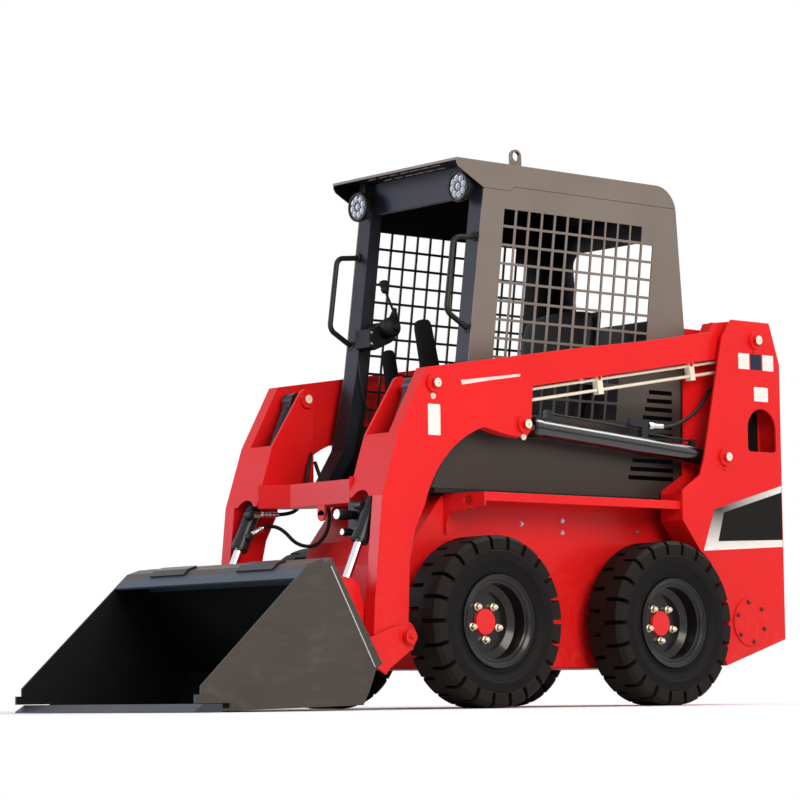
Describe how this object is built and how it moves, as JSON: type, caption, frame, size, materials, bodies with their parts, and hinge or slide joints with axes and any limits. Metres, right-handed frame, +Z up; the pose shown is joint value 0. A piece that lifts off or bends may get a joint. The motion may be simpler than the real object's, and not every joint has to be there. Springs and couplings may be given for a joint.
{
  "type": "skid steer loader",
  "caption": "Compact wheeled skid steer loader with a caged cab, radial lift arms, hydraulic lift and tilt cylinders and a general-purpose bucket.",
  "frame": {"origin": "on the ground, on the machine's centre plane, at the middle of the overall length with the bucket flat on the ground", "axes": "+X forward towards the bucket, +Y to the machine's left, +Z up"},
  "size_m": [3.13, 1.146, 2.2259],
  "materials": {
    "machine_red": "gloss enamel over steel plate",
    "engine_iron": "dark painted castings",
    "cab_grey": "satin bronze-grey paint",
    "slate_black": "satin slate-black paint",
    "cab_black": "satin black paint",
    "seat_vinyl": "black vinyl",
    "control_black": "moulded black plastic",
    "lamp_lens": "clear polycarbonate lens",
    "pipe_cream": "cream paint",
    "tyre_rubber": "weathered black rubber",
    "wheel_black": "semi-gloss black paint",
    "bucket_grey": "worn dark grey paint",
    "edge_steel": "worn bare steel",
    "cylinder_black": "gloss black enamel",
    "rod_chrome": "hard chrome"
  },
  "bodies": {
    "frame": {"main_frame": "machine_red", "fender_decks": "machine_red", "rear_sill": "machine_red", "tower_left": "machine_red", "tower_right": "machine_red", "axle_housings": "machine_red", "engine_block": "engine_iron", "cab_side_left": "cab_grey", "cab_side_right": "cab_grey", "cab_roof": "cab_grey", "cab_front_frame": "slate_black", "cab_rear": "cab_grey", "cab_floor": "cab_black", "seat_base": "cab_black", "seat": "seat_vinyl", "control_levers": "control_black", "work_lamps": "cab_black", "lamp_lenses": "lamp_lens", "handrails": "cab_black", "lifting_eyes": "cab_grey", "door_hinges": "cab_black"},
    "boom": {"arm_left": "machine_red", "arm_right": "machine_red", "arm_crossmember": "machine_red", "boom_pipes_left": "pipe_cream", "boom_pipes_right": "pipe_cream"},
    "wheel_front_left": {"tyre_front_left": "tyre_rubber", "rim_front_left": "wheel_black"},
    "wheel_front_right": {"tyre_front_right": "tyre_rubber", "rim_front_right": "wheel_black"},
    "wheel_rear_left": {"tyre_rear_left": "tyre_rubber", "rim_rear_left": "wheel_black"},
    "wheel_rear_right": {"tyre_rear_right": "tyre_rubber", "rim_rear_right": "wheel_black"},
    "tool": {"quick_attach": "machine_red", "bucket_shell": "bucket_grey", "cutting_edge": "edge_steel", "bucket_fittings": "slate_black"},
    "lift_barrel_left": {"lift_barrel_left": "cylinder_black", "lift_pipes_left": "slate_black"},
    "lift_rod_left": {"lift_rod_left": "rod_chrome"},
    "tilt_barrel_left": {"tilt_barrel_left": "slate_black"},
    "tilt_rod_left": {"tilt_rod_left": "rod_chrome"},
    "lift_barrel_right": {"lift_barrel_right": "cylinder_black", "lift_pipes_right": "slate_black"},
    "lift_rod_right": {"lift_rod_right": "rod_chrome"},
    "tilt_barrel_right": {"tilt_barrel_right": "slate_black"},
    "tilt_rod_right": {"tilt_rod_right": "rod_chrome"},
    "rear_door": {"rear_door": "machine_red"},
    "engine_hood": {"engine_hood": "machine_red"}
  },
  "joints": [
    {"name": "front_left_wheel", "type": "hinge", "parent": "frame", "child": "wheel_front_left", "pos_m": [0.1165, 0.479, 0.33], "axis": [0, 1, 0], "continuous": true},
    {"name": "front_right_wheel", "type": "hinge", "parent": "frame", "child": "wheel_front_right", "pos_m": [0.1165, -0.479, 0.33], "axis": [0, 1, 0], "continuous": true},
    {"name": "rear_left_wheel", "type": "hinge", "parent": "frame", "child": "wheel_rear_left", "pos_m": [-0.8365, 0.479, 0.33], "axis": [0, 1, 0], "continuous": true},
    {"name": "rear_right_wheel", "type": "hinge", "parent": "frame", "child": "wheel_rear_right", "pos_m": [-0.8365, -0.479, 0.33], "axis": [0, 1, 0], "continuous": true},
    {"name": "boom_lift", "type": "hinge", "parent": "frame", "child": "boom", "pos_m": [-1.386, 0, 1.516], "axis": [0, -1, 0], "range_deg": [0, 60]},
    {"name": "bucket_tilt", "type": "hinge", "parent": "boom", "child": "tool", "pos_m": [0.527, 0, 0.27], "axis": [0, 1, 0], "range_deg": [-27, 84]},
    {"name": "lift_barrel_left_pin", "type": "hinge", "parent": "frame", "child": "lift_barrel_left", "pos_m": [-1.191, 0.4585, 1.018], "axis": [0, -1, 0], "range_deg": [0, 55.78]},
    {"name": "lift_rod_left_slide", "type": "slide", "parent": "lift_barrel_left", "child": "lift_rod_left", "axis": [0.9971, 0, 0.0755], "range_m": [0, 0.5262]},
    {"name": "tilt_barrel_left_pin", "type": "hinge", "parent": "boom", "child": "tilt_barrel_left", "pos_m": [0.372, 0.374, 1.236], "axis": [0, 1, 0], "range_deg": [-1.8, 5.57]},
    {"name": "tilt_rod_left_slide", "type": "slide", "parent": "tilt_barrel_left", "child": "tilt_rod_left", "axis": [0.4173, 0, -0.9088], "range_m": [-0.1105, 0.3428]},
    {"name": "lift_barrel_right_pin", "type": "hinge", "parent": "frame", "child": "lift_barrel_right", "pos_m": [-1.191, -0.4585, 1.018], "axis": [0, -1, 0], "range_deg": [0, 55.78]},
    {"name": "lift_rod_right_slide", "type": "slide", "parent": "lift_barrel_right", "child": "lift_rod_right", "axis": [0.9971, 0, 0.0755], "range_m": [0, 0.5262]},
    {"name": "tilt_barrel_right_pin", "type": "hinge", "parent": "boom", "child": "tilt_barrel_right", "pos_m": [0.372, -0.374, 1.236], "axis": [0, 1, 0], "range_deg": [-1.8, 5.57]},
    {"name": "tilt_rod_right_slide", "type": "slide", "parent": "tilt_barrel_right", "child": "tilt_rod_right", "axis": [0.4173, 0, -0.9088], "range_m": [-0.1105, 0.3428]},
    {"name": "rear_door_swing", "type": "hinge", "parent": "frame", "child": "rear_door", "pos_m": [-1.548, 0.368, 1], "axis": [0, 0, -1], "range_deg": [0, 100]},
    {"name": "engine_hood_lift", "type": "hinge", "parent": "frame", "child": "engine_hood", "pos_m": [-1.126, 0, 1.556], "axis": [0, 1, 0], "range_deg": [0, 55]}
  ],
  "couplings": [
    {"joint": "lift_barrel_left_pin", "follows": "boom_lift", "ratio": 0.9295},
    {"joint": "lift_rod_left_slide", "follows": "boom_lift", "m_per_rad": 0.502},
    {"joint": "tilt_barrel_left_pin", "follows": "bucket_tilt", "ratio": 0.0662},
    {"joint": "tilt_rod_left_slide", "follows": "bucket_tilt", "m_per_rad": 0.2335},
    {"joint": "lift_barrel_right_pin", "follows": "boom_lift", "ratio": 0.9295},
    {"joint": "lift_rod_right_slide", "follows": "boom_lift", "m_per_rad": 0.502},
    {"joint": "tilt_barrel_right_pin", "follows": "bucket_tilt", "ratio": 0.0662},
    {"joint": "tilt_rod_right_slide", "follows": "bucket_tilt", "m_per_rad": 0.2335}
  ]
}
